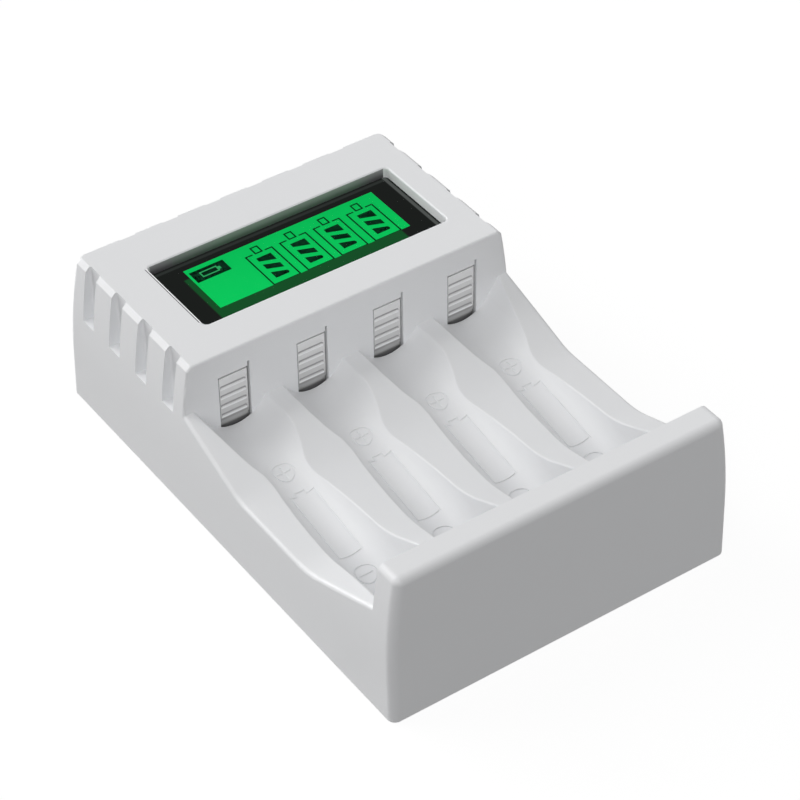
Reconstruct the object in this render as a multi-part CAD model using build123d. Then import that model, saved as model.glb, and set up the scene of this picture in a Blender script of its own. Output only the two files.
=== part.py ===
from build123d import *
import os
from math import cos, radians, sin, sqrt

# A four-bay battery charger with a display, in millimetres.
# The case is one white shell: a raised head at the back with the display in its top, four bays that run
# forward from it, and a front wall. X runs across the bays, Y from the front wall to the head, and Z up.
# The origin is at the middle of the footprint, on the table. Places along Y are given as distances from the
# front face, and at() turns them into model coordinates.

# Bays, side by side: the case's width follows from them
bay_count = 4
bay_pitch = 17.27
side_margin = 2.96
bay_length = 61.3
bay_skin = 1.8
channel_radius = 7.4
channel_floor = 16.0
channel_arc = 55.0
groove_radius = 5.8
groove_arc = 77.5
groove_lead = 6.0
groove_fall = 0.185
neck_bend = 16.0

# Case
head_length = 42.9
height = 34.0
foot_stand = 0.2
side_wall = 2.2
head_roof = 2.3
head_wall = 1.8
lean_start = 12.0
side_lean = 1.95
rear_lean = 2.4
front_corner = 1.6
rear_corner = 1.2
head_corner = 0.5
side_bevel = 0.95
top_edge = 0.4

# Front wall
front_wall_drop = 1.0
front_wall_depth = 6.3
front_wall_lean = 0.8
front_skin = 2.0
inner_skin = 1.6
front_top_edge = 1.5

# The bed that the bays are cut in falls from the head, runs level and rises to the front wall
bed_at_head = 23.2
bed_fall_run = 19.1
bed_fall_height = 16.5
bed_fall_bend = 12.0
bed_rise_run = 20.5
bed_rise_height = 16.2
bed_rise_bend = 20.0
bed_at_front = 23.6
bed_edge = 0.8
ridge_height = 20.2
ridge_bend = 14.0
ridge_edge = 0.4

# Engraved polarity marks
mark_line = 0.35
mark_depth = 0.2
mark_circle = 4.5
mark_cross = 3.0
plus_offset = 2.8
minus_offset = 2.0
cell_mark_offset = 3.0
cell_mark_length = 16.0
cell_mark_width = 5.3
cell_mark_nub_width = 2.2
cell_mark_nub = 0.9

# Notches round the head's top
notch_width = 3.9
notch_floor = 21.8
notch_corner = 0.5
notch_pitch = 9.65
notch_wall = 0.8
side_notch_inset = 3.1
side_notch_count = 4
side_notch_end = 8.35
rear_notch_inset = 2.9
rear_notch_count = 6

# Display, seen through an opening in the head's top
opening_width = 55.2
opening_depth = 21.1
opening_offset = 1.5
opening_setback = 19.35
opening_corner = 1.0
opening_edge = 0.4
window_rim = 1.6
window_thickness = 1.2
window_clear = 0.1
mask_thickness = 0.2
view_width = 43.65
view_depth = 13.7
view_offset = 2.9
view_setback = 22.0
glass_width = 50.0
glass_depth = 19.0
glass_thickness = 1.8
glass_ledge = 2.6
light_thickness = 2.6
frame_wall = 1.3
frame_shelf = 1.2
frame_clear = 0.1
led_length = 3.2
led_depth = 1.6
led_height = 0.8
elastomer_width = 1.6
elastomer_length = 44.0
elastomer_setback = 0.5

# Circuit board, under the display
board_side_gap = 0.9
board_setback = 2.8
board_end_gap = 5.5
board_thickness = 1.6
board_bottom = 19.5
board_post_clear = 0.6

# Parts under the board: x, distance behind the head's front face, and size
controller_place = (0.0, 10.9)
controller_size = (7.5, 5.3, 1.75)
controller_legs = 8
transistor_setback = 18.4
transistor_size = (4.9, 3.9, 1.5)
transistor_legs = 4
resistor_setback = 24.0
resistor_size = (3.2, 1.6, 0.6)
channel_spread = 13.8
leg_width = 0.4
leg_reach = 0.8
leg_rise = 0.3
inductor_place = (-12.0, 29.4)
inductor_base = (7.0, 7.0, 0.8)
inductor_core = (3.2, 3.2)
input_can_place = (-20.0, 30.4)
output_can_place = (20.0, 28.4)
can_radius = 3.2
can_rise = 5.4
can_foot = 0.6
crystal_place = (13.0, 13.4)
crystal_size = (7.0, 3.0, 1.8)

# Supply inlet in the rear face
inlet_width = 8.9
inlet_height = 3.2
inlet_depth = 8.6
inlet_wall = 0.3
inlet_clear = 0.25
inlet_recess = 1.8
plug_depth = 1.6
plug_gap = 0.02
tongue_thickness = 0.7
tongue_width = 6.6
tongue_recess = 0.8

# Positive contacts, in windows of the head's front face
strip_width = 6.25
strip_thickness = 0.6
strip_recess = 0.3
strip_drop = 1.1
strip_length = 13.05
strip_step_rise = 2.75
strip_step = 0.3
slot_side_gap = 0.15
slot_wide_gap = 0.33
slot_end_gap = 0.65
slit_rise = 1.1
rib_count = 4
rib_pitch = 2.2
rib_first = 2.1
rib_length = 5.65
rib_height = 0.8
rib_depth = 0.3
tail_width = 3.0
tail_setback = 3.6

# Negative contacts, on a rod behind the front wall
rod_radius = 0.6
rod_setback = 3.3
rod_height = 5.6
rod_end = 1.4
rod_relief = 0.3
knuckle_radius = 1.3
knuckle_clear = 0.05
contact_width = 4.6
contact_thickness = 0.5
contact_reach = 16.8
contact_bump = 1.6
contact_lip = 0.35
cradle_clear = 0.3
cradle_cheek = 0.7
cradle_rise = 1.8
cradle_rear = 2.8
cradle_gap = 0.15
carrier_thickness = 1.7

# Base cover, feet and screws
cover_thickness = 1.8
cover_gap = 0.15
cover_corner = 1.5
slot_count = 7
slot_length = 16.0
slot_width = 1.6
slot_pitch = 3.6
slot_spread = 11.2
slot_setback = 16.4
foot_radius = 4.0
foot_recess = 0.8
foot_gap = 0.05
foot_inset = 8.5
foot_front = 9.5
foot_rear = 18.5
post_radius = 2.8
post_inset = 7.1
post_end = 7.5
front_post_radius = 2.4
front_post_place = 17.0
front_post_top = 16.0
board_post_radius = 2.1
board_post_inset = 7.5
board_post_setback = 4.7
board_post_x = 14.0
board_post_end = 7.3
screw_radius = 1.1
screw_length = 7.0
screw_head_radius = 2.0
screw_head_height = 1.1
screw_hole_spare = 1.5
board_screw_radius = 0.8
board_screw_length = 5.5
board_screw_head_radius = 1.5
board_screw_head_height = 0.9
board_screw_hole_spare = 1.0
screw_clear = 0.05
drive_depth = 0.6
drive_width = 0.4

# Lead from the rod to the board
lead_radius = 0.65
lead_gap = 0.1
lead_leave = 5.2
lead_turn = 6.0
lead_bend = (-1.4, 2.4, 1.2)
lead_climb = (-3.2, 10.2, 5.4)
lead_end = (-3.8, 12.8)
lead_stub = 5.0

width = bay_count * bay_pitch + 2 * side_margin
head_front = front_wall_depth + bay_length
length = head_front + head_length
front = -length / 2
front_wall_height = height - front_wall_drop
half_width = width / 2
beyond = 6.0
bed_rise_start = front_wall_depth + bed_rise_run
bed_fall_end = head_front - bed_fall_run
groove_start = bed_fall_end + groove_lead
bay_centres = [(i - (bay_count - 1) / 2) * bay_pitch for i in range(bay_count)]
base_top = foot_stand + cover_thickness
head_ceiling = height - head_roof
cavity_half = half_width - side_lean - side_wall
rod_place = front_wall_depth + rod_setback
board_top = board_bottom + board_thickness
window_bottom = head_ceiling - window_thickness
mask_bottom = window_bottom - mask_thickness
glass_bottom = mask_bottom - glass_thickness
light_bottom = glass_bottom - light_thickness
opening_centre = head_front + opening_setback
view_centre = head_front + view_setback
strip_bottom = channel_floor - strip_drop
strip_top = strip_bottom + strip_length


def at(distance):
    """Model Y of a place that many millimetres behind the front face."""
    return front + distance


def block(x, y, z):
    """Box between two values along each axis; y is given as distances from the front face."""
    size = (x[1] - x[0], y[1] - y[0], z[1] - z[0])
    centre = ((x[0] + x[1]) / 2, at((y[0] + y[1]) / 2), (z[0] + z[1]) / 2)
    return Pos(*centre) * Box(*size)


def upright(radius, x, y, z):
    """Vertical cylinder at x and y, between two heights."""
    return Pos(x, at(y), (z[0] + z[1]) / 2) * Cylinder(radius, z[1] - z[0])


def crosswise(radius, half_span):
    """Cylinder along X round the rod's axis."""
    return Pos(0, at(rod_place), rod_height) * Rot(0, 90, 0) * Cylinder(radius, 2 * half_span)


def along_x(outline, half_span):
    """Solid from an outline in Y and Z, spread evenly to both sides."""
    return extrude(Plane.YZ * make_face(outline), amount=half_span, both=True)


def along_y(outline, y0, y1):
    """Solid from an outline in X and Z, between two distances from the front face."""
    plane = Plane(origin=(0, at(y0), 0), x_dir=(1, 0, 0), z_dir=(0, -1, 0))
    return extrude(plane * make_face(outline), amount=-(y1 - y0))


def plate(size_x, size_y, x, y, z, corner=0.0):
    """Flat plate centred at x and a distance from the front, between two heights."""
    plan = RectangleRounded(size_x, size_y, corner) if corner else Rectangle(size_x, size_y)
    return extrude(Pos(x, at(y), z[0]) * plan, amount=z[1] - z[0])


def fused(solids):
    """One shape from several."""
    total = solids[0]
    for solid in solids[1:]:
        total = total + solid
    return total


def pick_edges(shape, axis, least, y, z, from_middle=0.0):
    """Edges at least that long along an axis, within ranges of Y and Z, and away from the middle plane."""
    found = []
    for edge in shape.edges():
        box = edge.bounding_box()
        middle = box.center()
        span = {Axis.X: box.size.X, Axis.Y: box.size.Y, Axis.Z: box.size.Z}[axis]
        inside = at(y[0]) <= middle.Y <= at(y[1]) and z[0] <= middle.Z <= z[1]
        if span >= least and inside and abs(middle.X) >= from_middle:
            found.append(edge)
    return found


# Outer form of the case

def cross_section():
    """Section across the case: upright sides that lean in towards a bevel at the top."""
    shoulder = half_width - side_lean
    top = shoulder - side_bevel
    outline = Line((-top, height), (top, height)) + Line((-half_width, foot_stand), (half_width, foot_stand))
    for side in (-1, 1):
        bend = (side * half_width, lean_start)
        bevel = (side * shoulder, height - side_bevel)
        outline = outline + Line((side * half_width, foot_stand), bend)
        outline = outline + TangentArc(bend, bevel, tangent=(0, 1))
        outline = outline + Line(bevel, (side * top, height))
    return outline


def long_section():
    """Section along the case: front wall, the space over the bays, head and leaning rear."""
    return Polyline(
        (at(length), foot_stand),
        (at(0), foot_stand),
        (at(front_wall_lean), front_wall_height),
        (at(front_wall_depth), front_wall_height),
        (at(front_wall_depth), bed_rise_height / 2),
        (at(head_front), bed_rise_height / 2),
        (at(head_front), height),
        (at(length - rear_lean), height),
        close=True,
    )


def bed_section():
    """Section along the bed, run on a little into the front wall and the head."""
    front_run = front_wall_depth / 2
    rear_run = head_wall
    front_slope = (bed_at_front - bed_rise_height) / bed_rise_run
    rear_slope = (bed_at_head - bed_fall_height) / bed_fall_run
    return Polyline(
        (at(front_wall_depth - front_run), foot_stand),
        (at(front_wall_depth - front_run), bed_at_front + front_slope * front_run),
        (at(bed_rise_start), bed_rise_height),
        (at(bed_fall_end), bed_fall_height),
        (at(head_front + rear_run), bed_at_head + rear_slope * rear_run),
        (at(head_front + rear_run), foot_stand),
        close=True,
    )


def upright_edges(form, y, least):
    """Outer upright edges within a range of Y, each at least that long."""
    sides = half_width - side_lean - side_bevel - front_corner
    return pick_edges(form, Axis.Z, least, y, (0, height), sides)


def top_edges(form, y, level):
    """Edges across the case at a level, within a range of Y."""
    return pick_edges(form, Axis.X, width / 2, y, (level - 0.01, level + 0.01))


def bed_form(across):
    """Solid under the bays, from the front wall into the head, with its bends and rims rounded."""
    low = bed_rise_height - 2
    bed = across & along_x(bed_section(), width)
    rise_bend = pick_edges(bed, Axis.X, width / 2, (bed_rise_start - 1, bed_rise_start + 1), (low, height))
    bed = fillet(rise_bend, bed_rise_bend)
    fall_bend = pick_edges(bed, Axis.X, width / 2, (bed_fall_end - 1, bed_fall_end + 1), (low, height))
    bed = fillet(fall_bend, bed_fall_bend)
    rims = pick_edges(bed, Axis.Y, 1, (0, length), (low, height), half_width - side_lean)
    return fillet(rims, bed_edge)


def outer_form():
    """Solid case with its edges rounded, before the bays are cut."""
    across = along_y(cross_section(), -beyond, length + beyond)
    form = across & along_x(long_section(), width)
    form = fillet(upright_edges(form, (-1, front_wall_lean + 1), height / 4), front_corner)
    form = fillet(upright_edges(form, (length - rear_lean - 1, length), side_bevel / 2), rear_corner)
    form = fillet(upright_edges(form, (head_front - 0.1, head_front + 0.1), side_bevel / 2), head_corner)
    form = fillet(top_edges(form, (head_front - 0.1, head_front + 0.1), height), top_edge)
    form = fillet(top_edges(form, (0, front_wall_lean + 0.1), front_wall_height), front_top_edge)
    form = form + bed_form(across)
    form = form - block((bay_centres[0], bay_centres[-1]), (bed_fall_end, head_front), (ridge_height, height))
    level = (ridge_height - 0.1, ridge_height + 0.1)
    return fillet(pick_edges(form, Axis.X, bay_pitch, (bed_fall_end, head_front - 1), level), ridge_bend)


# Bays

def u_section(radius, arc, grow, reach):
    """Round-bottomed section with tangent sides that flare; its floor is at local zero before growing."""
    r = radius + grow
    a = radians(arc)
    low = (r * sin(a), radius - r * cos(a))
    high = (low[0] + reach * cos(a), low[1] + reach * sin(a))
    section = ThreePointArc((-low[0], low[1]), (0, -grow), low) + Line((-high[0], high[1]), high)
    for side in (-1, 1):
        section = section + Line((side * low[0], low[1]), (side * high[0], high[1]))
    return section


def bay_cutter(centre, grow=0.0, front_grow=0.0, rear_grow=0.0):
    """Space of one bay: a level channel for AA cells and a narrower groove for AAA cells, which slopes down
    to the front. It can be grown evenly for the skin around it."""
    y0 = front_wall_depth - front_grow
    y1 = head_front + rear_grow
    channel = along_y(u_section(channel_radius, channel_arc, grow, 2 * height), y0, y1)
    channel = Pos(0, 0, channel_floor) * channel
    slope = sqrt(1 + groove_fall ** 2)
    start = Plane(
        origin=(0, at(groove_start), channel_floor),
        x_dir=(1, 0, 0),
        z_dir=(0, -1 / slope, -groove_fall / slope),
    )
    groove = extrude(start * make_face(u_section(groove_radius, groove_arc, grow, height)), amount=length)
    groove = groove & block((-width, width), (y0, y1), (-height, 2 * height))
    cutter = channel + groove
    if not grow:
        neck = pick_edges(cutter, Axis.X, channel_radius, (bed_rise_start, groove_start), (0, bed_at_front))
        neck = [edge for edge in neck if edge.bounding_box().max.Y > at(groove_start - 1)]
        cutter = fillet(neck, neck_bend)
    return Pos(centre, 0, 0) * cutter


def bays(grow=0.0, front_grow=0.0, rear_grow=0.0):
    """All bays as one shape."""
    return fused([bay_cutter(x, grow, front_grow, rear_grow) for x in bay_centres])


def ridge_edges(cut, form):
    """Edges where the bays meet the bed, from the front crest to the head."""
    surface = Shell(form.faces())
    found = []
    low = bed_rise_height - 1
    for edge in pick_edges(cut, Axis.Y, 0.3, (front_wall_depth, head_front), (low, height)):
        box = edge.bounding_box()
        middle = box.center()
        within = at(front_wall_depth + 2) < middle.Y and abs(middle.X) < half_width - bed_edge - 0.5
        if within and surface.distance_to(edge.position_at(0.5)) < 0.001:
            found.append(edge)
    return found


def ring(x, y, diameter):
    """Upright prism of a circle line."""
    outer = upright(diameter / 2, x, y, (0, height))
    return outer - upright(diameter / 2 - mark_line, x, y, (0, height))


def bar(x, y, size_x, size_y):
    """Upright prism of a straight line."""
    return plate(size_x, size_y, x, y, (0, height))


def cell_mark(x):
    """Upright prism of a battery's outline, with its nub to the rear."""
    rear = bed_fall_end - cell_mark_offset
    middle = rear - cell_mark_length / 2
    outer = bar(x, middle, cell_mark_width, cell_mark_length)
    outer = outer + bar(x, rear, cell_mark_nub_width, 2 * cell_mark_nub)
    inner = bar(x, middle, cell_mark_width - 2 * mark_line, cell_mark_length - 2 * mark_line)
    inner = inner + bar(x, rear, cell_mark_nub_width - 2 * mark_line, 2 * (cell_mark_nub - mark_line))
    return outer - inner


def polarity_marks():
    """Prisms of every engraved line."""
    plus = bed_fall_end + plus_offset
    minus = bed_rise_start - minus_offset
    marks = []
    for x in bay_centres:
        marks.append(ring(x, plus, mark_circle))
        marks.append(bar(x, plus, mark_cross, mark_line))
        marks.append(bar(x, plus, mark_line, mark_cross))
        marks.append(cell_mark(x))
        marks.append(ring(x, minus, mark_circle))
        marks.append(bar(x, minus, mark_cross, mark_line))
    return marks


# Upper housing

def cavity():
    """Hollow of the case, clear of the bays by their skin."""
    low = half_width - side_wall
    rise = notch_floor - notch_wall
    corners = [(low, -beyond), (low, lean_start), (cavity_half, rise), (cavity_half, head_ceiling)]
    mirrored = [(-x, z) for x, z in reversed(corners)]
    across = Polyline(*corners, *mirrored, close=True)
    wall_room = front_wall_depth - inner_skin
    rear_low = length - side_wall
    rear_high = length - rear_lean - side_wall
    along = Polyline(
        (at(front_skin), -beyond),
        (at(front_skin + front_wall_lean), front_wall_height - front_skin),
        (at(wall_room), front_wall_height - front_skin),
        (at(wall_room), bed_at_front - bay_skin),
        (at(bed_rise_start), bed_rise_height - bay_skin),
        (at(bed_fall_end), bed_fall_height - bay_skin),
        (at(head_front), ridge_height - bay_skin),
        (at(head_front + head_wall), ridge_height - bay_skin),
        (at(head_front + head_wall), head_ceiling),
        (at(rear_high), head_ceiling),
        (at(rear_high), rise),
        (at(rear_low), base_top + side_wall),
        (at(rear_low), -beyond),
        close=True,
    )
    room = along_y(across, -beyond, length + beyond) & along_x(along, width)
    return room - bays(bay_skin, inner_skin, head_wall)


def notches():
    """Cutters for the notches in the head's sides and rear."""
    rows = []
    for i in range(side_notch_count):
        y = length - side_notch_end - i * notch_pitch
        for side in (-1, 1):
            rows.append((2 * side_notch_inset, notch_width, side * half_width, y))
    for i in range(rear_notch_count):
        x = (i - (rear_notch_count - 1) / 2) * notch_pitch
        rows.append((notch_width, 2 * rear_notch_inset, x, length))
    return [plate(*row, (notch_floor, 2 * height), notch_corner) for row in rows]


def strip_window(x):
    """Opening in the head's front face for one positive contact, with the slit beside it."""
    left = x - strip_width / 2 - slot_side_gap
    slit = x + strip_width / 2
    right = slit + slot_side_gap + slot_wide_gap
    y = (head_front - 0.01, head_front + head_wall + 0.5)
    low = strip_bottom - slot_side_gap
    high = strip_top + slot_end_gap
    return block((left, right), y, (low, high)) + block((slit, right), y, (low, high + slit_rise))


def cradle_half():
    """Half the width of one cradle, outside its cheeks."""
    return contact_width / 2 + cradle_clear + cradle_cheek


def cradle_span():
    """Front and rear face of the cradles, as distances from the front."""
    return (rod_place - knuckle_radius - 2 * cradle_clear, rod_place + cradle_rear)


def cradle_window(x):
    """Opening in one bay's floor, behind the front wall, for the contact and its cradle."""
    half = cradle_half() + cradle_gap
    y0, y1 = cradle_span()
    return block((x - half, x + half), (y0 - cradle_gap, y1 + cradle_gap), (0, channel_floor))


def screw_places():
    """Base screws: x and distance from the front."""
    rear = (half_width - post_inset, length - post_end)
    return [(side * x, y) for side in (-1, 1) for x, y in (rear, (bay_pitch, front_post_place))]


def board_screw_places():
    """Board screws: x and distance from the front."""
    near = (half_width - board_post_inset, head_front + board_post_setback)
    far = (board_post_x, length - board_post_end)
    return [(side * x, y) for side in (-1, 1) for x, y in (near, far)]


def posts():
    """Posts for the screws: x, distance from the front, radius and heights."""
    rows = [(x, y, board_post_radius, (board_top, head_ceiling)) for x, y in board_screw_places()]
    for x, y in screw_places():
        if y > head_front:
            rows.append((x, y, post_radius, (base_top, head_ceiling)))
        else:
            rows.append((x, y, front_post_radius, (base_top, front_post_top)))
    return rows


def inlet_slot(extra, y0, y1):
    """Round-ended opening or body of the supply inlet along Y, just under the board."""
    start = Plane(origin=(0, at(y0), board_bottom - inlet_height / 2), x_dir=(1, 0, 0), z_dir=(0, -1, 0))
    plan = SlotOverall(inlet_width + 2 * extra, inlet_height + 2 * extra)
    return extrude(start * plan, amount=-(y1 - y0))


def opening_rim(shell):
    """Upper edges of the display's opening."""
    found = []
    for edge in shell.edges():
        middle = edge.center()
        beside = abs(middle.X - opening_offset) < opening_width / 2 + 0.1
        along = abs(middle.Y - at(opening_centre)) < opening_depth / 2 + 0.1
        if beside and along and middle.Z > height - 0.01:
            found.append(edge)
    return found


def make_upper_housing():
    """The white shell."""
    form = outer_form()
    shell = form - bays()
    shell = fillet(ridge_edges(shell, form), ridge_edge)
    shell = shell - cavity()
    layer = bays(mark_depth)
    for mark in polarity_marks():
        shell = shell - (mark & layer)
    for x, y, radius, z in posts():
        shell = shell + upright(radius, x, y, z)
    for x, y in screw_places():
        top = foot_stand + screw_length + screw_hole_spare
        shell = shell - upright(screw_radius + screw_clear, x, y, (0, top))
    for x, y in board_screw_places():
        top = board_bottom + board_screw_length + board_screw_hole_spare
        shell = shell - upright(board_screw_radius + screw_clear, x, y, (board_bottom, top))
    for cutter in notches():
        shell = shell - cutter
    for x in bay_centres:
        shell = shell - strip_window(x) - cradle_window(x)
    groove_half = rod_half() + rod_relief
    rod_top = rod_height + rod_radius + rod_relief
    groove_side = rod_radius + rod_relief
    shell = shell - block(
        (-groove_half, groove_half),
        (rod_place - groove_side, rod_place + groove_side),
        (base_top, rod_top),
    )
    z = (head_ceiling - 0.5, height + 0.5)
    shell = shell - plate(opening_width, opening_depth, opening_offset, opening_centre, z, opening_corner)
    shell = fillet(opening_rim(shell), opening_edge)
    shell = shell - window_sheet((mask_bottom, head_ceiling), window_clear)
    return shell - inlet_slot(inlet_clear, length - side_wall - beyond / 2, length + beyond)


# Display

def window_sheet(z, grow=0.0):
    """Sheet larger than the opening by the glued rim, or the room for it."""
    size_x = opening_width + 2 * window_rim + 2 * grow
    size_y = opening_depth + 2 * window_rim + 2 * grow
    return plate(size_x, size_y, opening_offset, opening_centre, z, opening_corner)


def make_display_window():
    """Clear pane glued under the roof."""
    return window_sheet((window_bottom, head_ceiling))


def make_display_mask():
    """Black printed border behind the pane, open over the symbols."""
    sheet = window_sheet((mask_bottom, window_bottom))
    return sheet - plate(view_width, view_depth, view_offset, view_centre, (mask_bottom - 1, head_ceiling))


def make_lcd_panel():
    """Glass of the display."""
    return plate(glass_width, glass_depth, view_offset, view_centre, (glass_bottom, mask_bottom))


def light_span():
    """Front and rear of the light guide: it leaves a ledge of the glass free for the connector."""
    return (view_centre - glass_depth / 2 + glass_ledge, view_centre + glass_depth / 2)


def lamp_block(grow):
    """Body of the lamp at the guide's end, or the notch for it."""
    end = view_offset + glass_width / 2
    middle = sum(light_span()) / 2
    half = led_length / 2 + grow
    return block(
        (end - led_depth - grow, end + grow),
        (middle - half, middle + half),
        (light_bottom - grow, light_bottom + led_height + grow),
    )


def make_lcd_backlight():
    """Light guide under the glass, notched at one end for the lamp."""
    half = glass_width / 2
    guide = block((view_offset - half, view_offset + half), light_span(), (light_bottom, glass_bottom))
    return guide - lamp_block(frame_clear)


def elastomer_block(grow, low):
    """Connector strip between the board and the ledge of the glass, or the slot for it."""
    y0 = view_centre - glass_depth / 2 + elastomer_setback
    half = elastomer_length / 2 + grow
    return block(
        (view_offset - half, view_offset + half),
        (y0 - grow, y0 + elastomer_width + grow),
        (low, glass_bottom),
    )


def make_lcd_frame():
    """Holder on the board: a wall round glass and guide, and a shelf under the guide."""
    inner_x = glass_width + 2 * frame_clear
    inner_y = glass_depth + 2 * frame_clear
    place = (view_offset, view_centre)
    top = glass_bottom + glass_thickness / 2
    body = plate(inner_x + 2 * frame_wall, inner_y + 2 * frame_wall, *place, (board_top, top), frame_wall)
    body = body - plate(inner_x, inner_y, *place, (light_bottom, height))
    body = body - plate(inner_x - 2 * frame_shelf, inner_y - 2 * frame_shelf, *place, (0, height))
    return body - elastomer_block(frame_clear, 0)


# Circuit board and its parts

def make_circuit_board():
    """Board with holes for its screws and room for the case's rear posts."""
    half = cavity_half - board_side_gap
    rear = length - board_end_gap
    z = (board_bottom, board_top)
    board = block((-half, half), (head_front + board_setback, rear), z)
    reach = post_radius + board_post_clear
    post_x = half_width - post_inset
    for side in (-1, 1):
        corner = sorted((side * (post_x - reach), side * width))
        board = board - block(corner, (length - post_end - reach, length), (0, height))
    for x, y in board_screw_places():
        board = board - upright(board_screw_radius + screw_clear, x, y, (0, height))
    return board


def under_board(size_x, size_y, x, y, rise):
    """Block that hangs under the board, centred at x and a distance from the front."""
    return plate(size_x, size_y, x, y, (board_bottom - rise, board_bottom))


def make_chip(x, setback, size, legs=0):
    """Flat packaged part under the board, with a row of legs along both long sides."""
    y = head_front + setback
    body = under_board(size[0], size[1], x, y, size[2])
    for i in range(legs):
        leg_x = x - size[0] / 2 + (i + 0.5) * size[0] / legs
        body = body + under_board(leg_width, size[1] + 2 * leg_reach, leg_x, y, leg_rise)
    return body


def make_power_inductor():
    """Square inductor with a round core."""
    x, y = inductor_place[0], head_front + inductor_place[1]
    base_rise = inductor_base[2]
    foot = under_board(inductor_base[0], inductor_base[1], x, y, base_rise)
    top = board_bottom - base_rise
    return foot + upright(inductor_core[0], x, y, (top - inductor_core[1], top))


def make_can(place):
    """Electrolytic capacitor: a can on a square foot."""
    x, y = place[0], head_front + place[1]
    foot = under_board(2 * can_radius, 2 * can_radius, x, y, can_foot)
    can = upright(can_radius - can_foot / 2, x, y, (board_bottom - can_rise, board_bottom - can_foot))
    rim = can.edges().sort_by(Axis.Z)[0]
    return foot + fillet(rim, can_foot / 2)


def make_timing_crystal():
    """Small can of the clock crystal."""
    size_x, size_y, rise = crystal_size
    place = Pos(crystal_place[0], at(head_front + crystal_place[1]), board_bottom - rise)
    return extrude(place * SlotOverall(size_x, size_y), amount=rise)


def make_usb_inlet_shell():
    """Plated shell of the inlet, hanging under the board's rear edge."""
    y1 = length - inlet_recess
    y0 = y1 - inlet_depth
    return inlet_slot(0.0, y0, y1) - inlet_slot(-inlet_wall, y0 + inlet_wall, y1 + 1)


def make_usb_inlet_tongue():
    """Insulator in the inlet: a plug at the back of the shell, and the tongue that carries the contacts."""
    y1 = length - inlet_recess
    y0 = y1 - inlet_depth + inlet_wall
    middle = board_bottom - inlet_height / 2
    z = (middle - tongue_thickness / 2, middle + tongue_thickness / 2)
    tongue = block((-tongue_width / 2, tongue_width / 2), (y0 + plug_depth / 2, y1 - tongue_recess), z)
    return inlet_slot(-inlet_wall - plug_gap, y0, y0 + plug_depth) + tongue


# Contacts

def rib_groove(x, y, z):
    """Round-bottomed groove across the front of a contact, with round ends."""
    radius = (rib_height ** 2 / 4 + rib_depth ** 2) / (2 * rib_depth)
    straight = rib_length - rib_height
    middle = at(y + rib_depth - radius)
    groove = Pos(x, middle, z) * Rot(0, 90, 0) * Cylinder(radius, straight)
    for side in (-1, 1):
        groove = groove + Pos(x + side * straight / 2, middle, z) * Sphere(radius)
    return groove


def make_positive_contact(x):
    """Ribbed strip in its window; it folds back over the board, and its tail stands on the board."""
    y0 = head_front + strip_recess
    strip = block(
        (x - strip_width / 2, x + strip_width / 2),
        (y0, y0 + strip_thickness),
        (strip_bottom, strip_top),
    )
    for i in range(rib_count):
        z = strip_top - rib_first - i * rib_pitch
        strip = strip - rib_groove(x, y0, z)
    foot = block((x - width, x + width), (head_front, y0 + strip_step), (0, strip_bottom + strip_step_rise))
    strip = strip - foot
    tail_x = (x - tail_width / 2, x + tail_width / 2)
    tail_y = head_front + tail_setback
    fold = block(tail_x, (y0, tail_y + strip_thickness), (strip_top - strip_thickness, strip_top))
    tail = block(tail_x, (tail_y, tail_y + strip_thickness), (board_top, strip_top))
    return strip + fold + tail


def contact_outline():
    """Side view of a negative contact: an upright strip with a round bump near its top."""
    y_front = at(rod_place - knuckle_radius)
    y_rear = y_front + contact_thickness
    top = rod_height + contact_reach
    crown = top - contact_bump
    start = crown - contact_bump
    lip = (y_front + contact_lip, top + contact_lip)
    outline = Polyline((y_rear, start), (y_rear, rod_height), (y_front, rod_height), (y_front, start))
    outline = outline + ThreePointArc((y_front, start), (y_front + contact_bump, crown), (y_front, top))
    outline = outline + Line((y_front, top), lip)
    outline = outline + ThreePointArc(lip, (y_rear + contact_bump, crown), (y_rear, start))
    return outline


def make_negative_contact(x):
    """Strip with a knuckle rolled round the rod and a bump near its top that meets the cell."""
    strip = along_x(contact_outline(), contact_width / 2)
    strip = strip + crosswise(knuckle_radius, contact_width / 2)
    return Pos(x, 0, 0) * (strip - crosswise(rod_radius + knuckle_clear, contact_width))


def rod_half():
    """Half the length of the rod, which stands out beyond the last cradles."""
    return bay_centres[-1] + cradle_half() + rod_end


def make_contact_rod():
    """Rod through all the knuckles."""
    return crosswise(rod_radius, rod_half())


def make_contact_carrier():
    """Moulded bar with one cradle in each bay's floor window."""
    y0, y1 = cradle_span()
    base_z = base_top + carrier_thickness
    top = rod_height + cradle_rise
    half = cradle_half()
    slot_half = half - cradle_cheek
    carrier = block((bay_centres[0] - half, bay_centres[-1] + half), (y0, y1), (base_top, base_z))
    for x in bay_centres:
        cradle = block((x - half, x + half), (y0, y1), (base_top, top))
        slot = block((x - slot_half, x + slot_half), (y0 + cradle_clear, y1 + 1), (base_z, height))
        carrier = carrier + (cradle - slot)
    return carrier - crosswise(rod_radius + knuckle_clear, width)


# Base cover, feet and screws

def foot_places():
    """Feet: x and distance from the front."""
    x = half_width - foot_inset
    return [(side * x, y) for side in (-1, 1) for y in (foot_front, length - foot_rear)]


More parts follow.
